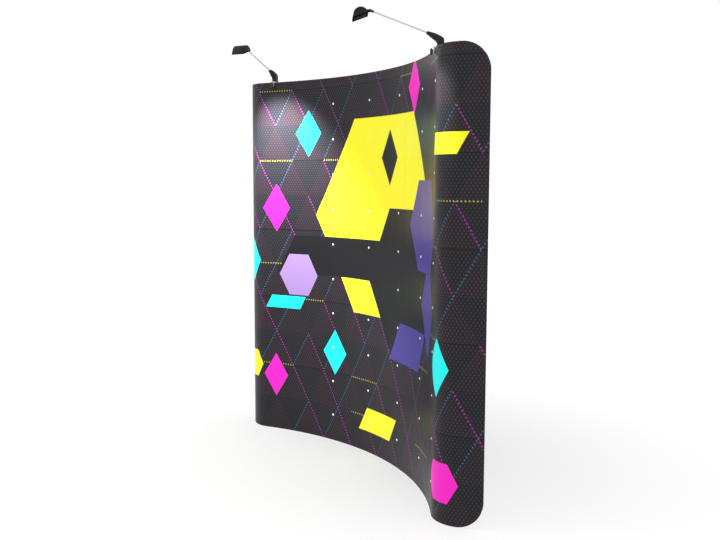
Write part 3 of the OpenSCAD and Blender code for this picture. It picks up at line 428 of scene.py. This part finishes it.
finishes = [
    # Moulded ABS: a fine spark grain keeps the hubs' highlights broad and dull
    ("mouldedAbs", {"tone": "#1c1d1f", "other": "#26272a", "metallic": 0, "rough": 0.48,
                    "shine": 0.35, "grain": 1.2, "depth": 0.08},
     starting("hub_column", "cap_brackets", "bar_joiners", "foot_stems", "lock_arm")),
    # Anodised aluminium: a satin metal that blurs the reflections along the tubes and bars
    ("anodisedAluminium", {"tone": "#b4b6ba", "other": "#c2c4c7", "metallic": 1, "rough": 0.32,
                           "shine": 0.5, "grain": 0.8, "depth": 0.02},
     starting("bay_tubes", "column_tubes", "cap_arms", "front_bars", "cap_bars", "top_rails")),
    # Zinc plate: a cooler metal with a faint cloudy passivation
    ("zincPlatedSteel", {"tone": "#94979b", "other": "#b0b1b0", "metallic": 1, "rough": 0.28,
                         "shine": 0.5, "grain": 0.7, "depth": 0.02},
     ["crossing_rivets", "hub_pins", "stud_washers"] + ending("clamp_screw")),
    # Zinc under a black passivate: the tilt pin is hardly brighter than the lamp round it
    ("blackPassivatedZinc", {"tone": "#3a3b3e", "other": "#46474a", "metallic": 1,
                             "rough": 0.42, "shine": 0.5, "grain": 0.7, "depth": 0.02},
     ending("tilt_pin")),
    # Ferrite-filled rubber: dull brown-black, as magnet strip is
    ("magnetRubber", {"tone": "#2c221d", "other": "#35291f", "metallic": 0, "rough": 0.62,
                      "shine": 0.3, "grain": 1.5, "depth": 0.05}, ["magnet_strips"]),
    # Nylon press studs: smooth white beads that catch a small highlight each
    ("glossyNylon", {"tone": "#f4f4f0", "other": "#ececea", "metallic": 0, "rough": 0.24,
                     "shine": 0.5, "grain": 3.0, "depth": 0.01}, ["stud_caps"]),
    # Soft rubber of the feet and the clamp's pad: matt, nearly black, slightly dusty
    ("softRubber", {"tone": "#161617", "other": "#232323", "metallic": 0, "rough": 0.74,
                    "shine": 0.25, "grain": 1.0, "depth": 0.08},
     ["foot_pads"] + ending("clamp_pad")),
    # Silver powder coat: pale and half metallic, with a fine orange peel
    ("silverPowderCoat", {"tone": "#c4c5c2", "other": "#d2d3d0", "metallic": 0.3,
                          "rough": 0.36, "shine": 0.5, "grain": 0.9, "depth": 0.03},
     ending("_clamp")),
    # Glass-filled nylon of the wing knob: dark grey and coarser than the ABS
    ("greyNylon", {"tone": "#272827", "other": "#323332", "metallic": 0, "rough": 0.5,
                   "shine": 0.35, "grain": 0.9, "depth": 0.06}, ending("clamp_knob")),
    # Satin black moulding: smoother than the hubs, for the elbow's long soft highlight
    ("satinBlackMoulding", {"tone": "#121313", "other": "#1a1b1b", "metallic": 0,
                            "rough": 0.36, "shine": 0.22, "grain": 1.0, "depth": 0.03},
     ending("_elbow", "_rod_end")),
    # Pale grey lacquer on the rod: warm, smooth, a little metallic
    ("paleGreyLacquer", {"tone": "#bdbdb6", "other": "#c8c7c1", "metallic": 0.2, "rough": 0.3,
                         "shine": 0.5, "grain": 0.8, "depth": 0.02}, ending("_rod")),
    # Textured paint on the lamp's housing: charcoal with a tight leather grain
    ("texturedHousingPaint", {"tone": "#151616", "other": "#1c1d1d", "metallic": 0,
                              "rough": 0.44, "shine": 0.18, "grain": 1.0, "depth": 0.07},
     ending("_housing")),
    # Stove black on the bezel: dead matt, so the lamp's mouth reads as a dark line
    ("mattBlackBezel", {"tone": "#09090a", "other": "#0f0f10", "metallic": 0, "rough": 0.6,
                        "shine": 0.0, "grain": 1.0, "depth": 0.04}, ending("_bezel")),
    # Bright rolled sheet of the reflector: a clear reflection with faint rolling ripples
    ("reflectorSheet", {"tone": "#d0d2d4", "other": "#dcddde", "metallic": 1, "rough": 0.18,
                        "shine": 0.5, "grain": 2.0, "depth": 0.02}, ending("_reflector")),
    # Frosted tube: warm white, its etched skin hides the filament
    ("frostedTube", {"tone": "#f7f4ea", "other": "#efece2", "metallic": 0, "rough": 0.32,
                     "shine": 0.5, "grain": 1.0, "depth": 0.02}, ending("_bulb"))]
for name, look, names in finishes:
    giveMaterial(finishMaterial(name, look), names)

# Heat-proof glass: grey-tinted, etched and faintly rippled, so the lamp looks dark from the side.
# The ripples are 3 mm across. Their size and depth are in millimetres
glassLook = {"Base Color": colour("#505354"), "Roughness": 0.55, "Transmission Weight": 1.0,
             "Specular IOR Level": 0.0, "IOR": 1.15}
rippleLook = {"size": 1000 / 330, "depth": 0.6, "relief": 0.1}
etchedGlass, tree, shader = newMaterial("etchedGlass")
for key, value in glassLook.items():
    shader.inputs[key].default_value = value
place = addNode(tree, "ShaderNodeTexCoord").outputs["Object"]
ripple = addNode(tree, "ShaderNodeTexVoronoi", None,
                 {"Vector": place, "Scale": 1000 / rippleLook["size"]})
relief = addNode(tree, "ShaderNodeBump", None, {
    "Strength": rippleLook["relief"], "Distance": rippleLook["depth"] / 1000, "Height": ripple})
tree.links.new(relief.outputs[0], shader.inputs["Normal"])
giveMaterial(etchedGlass, ending("_lens"))
print("finishes done")

# Mouldings with their sharp edges rounded: copies of the CAD solids, in their own places.
# Widths of the rounding and the merging distance in metres, angles in degrees
softening = {"merge": 0.00002, "flat": 0.4, "crease": 35, "segments": 2}
softEdges = {"_housing": 0.0012, "_bezel": 0.0008, "_elbow": 0.0020, "_clamp_knob": 0.0010,
             "_clamp": 0.0006, "hub_column": 0.0009, "cap_brackets": 0.0008,
             "lock_arm": 0.0008, "foot_pads": 0.0010}
record = frame["record"]
bodyOf = {name: body for body, group in record["behaviour"]["bodies"].items() for name in group}


def soften(name, width):
    piece = nodes[name].copy()
    piece.data = nodes[name].data.copy()
    piece.name = name + "_soft"
    piece.parent = None
    bpy.context.scene.collection.objects.link(piece)
    bpy.ops.object.select_all(action="DESELECT")
    piece.select_set(True)
    bpy.context.view_layer.objects.active = piece
    bpy.ops.object.mode_set(mode="EDIT")
    bpy.ops.mesh.select_all(action="SELECT")
    bpy.ops.mesh.remove_doubles(threshold=softening["merge"])
    bpy.ops.mesh.dissolve_limited(angle_limit=math.radians(softening["flat"]))
    bpy.ops.mesh.normals_make_consistent(inside=False)
    bpy.ops.object.mode_set(mode="OBJECT")
    rounding = piece.modifiers.new("rounding", "BEVEL")
    rounding.width = width
    rounding.segments = softening["segments"]
    rounding.limit_method = "ANGLE"
    rounding.angle_limit = math.radians(softening["crease"])
    rounding.harden_normals = False
    bpy.ops.object.modifier_apply(modifier="rounding")
    bpy.ops.object.shade_smooth_by_angle(angle=math.radians(softening["crease"]))
    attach(piece, bodyOf[name])
    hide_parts(name)


for key, width in softEdges.items():
    for name in sorted(set(ending(key) + starting(key))):
        soften(name, width)
print("softened mouldings done")

# A matt white floor, which keeps its shadow round the wall and fades into the white backdrop
# farther off. The fade is centred behind the wall, so besides the real shadow it paints shade:
# the floor darkens towards the wall more than its lighting alone makes it. Lengths in metres
floorLook = {"size": 40.0, "lift": 1.10, "middle": (-0.04, 0.60, 0), "spread": (0.50, 0.60, 0),
             "near": -1.0, "far": 2.05, "keep": 0.135}
bpy.ops.object.select_all(action="DESELECT")
bpy.ops.mesh.primitive_plane_add(size=floorLook["size"], location=(0, 0, 0))
floor = bpy.context.object
floor.name = "floor"
material = bpy.data.materials.new("studioFloor")
material.use_nodes = True
tree = material.node_tree
tree.nodes.clear()
white = colour("#ffffff")
diffuse = addNode(tree, "ShaderNodeBsdfDiffuse", None, {0: white})
glow = addNode(tree, "ShaderNodeEmission", None, {0: white, 1: floorLook["lift"]})
place = addNode(tree, "ShaderNodeTexCoord").outputs["Object"]
away = addNode(tree, vectorMath, {"operation": "SUBTRACT"}, {0: place, 1: floorLook["middle"]})
away = addNode(tree, vectorMath, {"operation": "MULTIPLY"}, {0: away, 1: floorLook["spread"]})
away = addNode(tree, vectorMath, {"operation": "LENGTH"}, {0: away}).outputs["Value"]
# painted shade: the glow's share drops from 1 far off to keep near the middle behind the wall
share = addNode(tree, "ShaderNodeMapRange", {"interpolation_type": "SMOOTHSTEP"}, {
    "Value": away, "From Min": floorLook["near"], "From Max": floorLook["far"],
    "To Min": floorLook["keep"], "To Max": 1.0})
blend = addNode(tree, "ShaderNodeMixShader", None, {0: share, 1: diffuse, 2: glow})
addNode(tree, "ShaderNodeOutputMaterial", None, {0: blend})
floor.data.materials.append(material)

# White sky for the camera, glossy and glass rays, and softer light for the rest
skyLook = {"seen": 1.0, "light": 0.75}
world = bpy.data.worlds.new("studio")
bpy.context.scene.world = world
world.use_nodes = True
tree = world.node_tree
tree.nodes.clear()
paths = addNode(tree, "ShaderNodeLightPath")
seen = addNode(tree, plainMath, {"operation": "MAXIMUM"},
               {0: paths.outputs["Is Camera Ray"], 1: paths.outputs["Is Glossy Ray"]})
seen = addNode(tree, plainMath, {"operation": "MAXIMUM"},
               {0: seen, 1: paths.outputs["Is Transmission Ray"]})
strength = addNode(tree, "ShaderNodeMapRange", None,
                   {"Value": seen, "To Min": skyLook["light"], "To Max": skyLook["seen"]})
sky = addNode(tree, "ShaderNodeBackground", None, {0: white, 1: strength})
addNode(tree, "ShaderNodeOutputWorld", None, {0: sky})


def addLight(name, kind, place, direction, look):
    data = bpy.data.lights.new(name, kind)
    for key, value in look.items():
        setattr(data, key, value)
    light = bpy.data.objects.new(name, data)
    bpy.context.scene.collection.objects.link(light)
    light.location = place
    light.rotation_euler = Vector(direction).to_track_quat("-Z", "Y").to_euler()
    return light


# Two broad soft lights: place, aim, edge in metres and power in watts
softLights = {"key": {"place": (-1.5, -5.0, 4.5), "aim": (0, 0, 1.1), "size": 3.5, "power": 50.0},
              "fill": {"place": (5.0, -3.0, 3.0), "aim": (0.5, 0, 1.1), "size": 3.0,
                       "power": 20.0}}
for name, look in softLights.items():
    addLight(name, "AREA", look["place"], Vector(look["aim"]) - Vector(look["place"]),
             {"size": look["size"], "energy": look["power"]})

# The lamps' pools fall on the wall alone: the photograph's floor is plain, and a turned lamp
# neither glares in them nor blocks them
offTheWall = bpy.data.collections.new("offTheWall")
for thing in bpy.context.scene.objects:
    if thing.type == "MESH" and (thing == floor or thing.name.startswith("lamp_")):
        offTheWall.objects.link(thing)
for entry in offTheWall.collection_objects:
    entry.light_linking.link_state = "EXCLUDE"

# Each pool starts just below its lamp's glass: a broad one on the left, a small high one on
# the right. Turn, tilt and width in degrees, distance and size in metres
beams = {"left": {"turn": -14.0, "tilt": 19.0, "wide": 84.0, "blend": 0.9, "power": 320.0},
         "right": {"turn": 57.0, "tilt": 44.0, "wide": 34.0, "blend": 1.0, "power": 56.0}}
beamStart = {"below": 0.02, "size": 0.03}
for side, look in beams.items():
    low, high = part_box(f"lamp_{side}_lens")
    turn, tilt = math.radians(look["turn"]), math.radians(look["tilt"])
    beam = Vector((math.sin(turn) * math.sin(tilt), math.cos(turn) * math.sin(tilt),
                   -math.cos(tilt)))
    start = (Vector(low) + Vector(high)) / 2 + beam * beamStart["below"]
    light = addLight(f"pool_{side}", "SPOT", start, beam, {
        "energy": look["power"], "spot_size": math.radians(look["wide"]),
        "spot_blend": look["blend"], "shadow_soft_size": beamStart["size"]})
    light.light_linking.receiver_collection = offTheWall
    light.light_linking.blocker_collection = offTheWall
print("studio done")
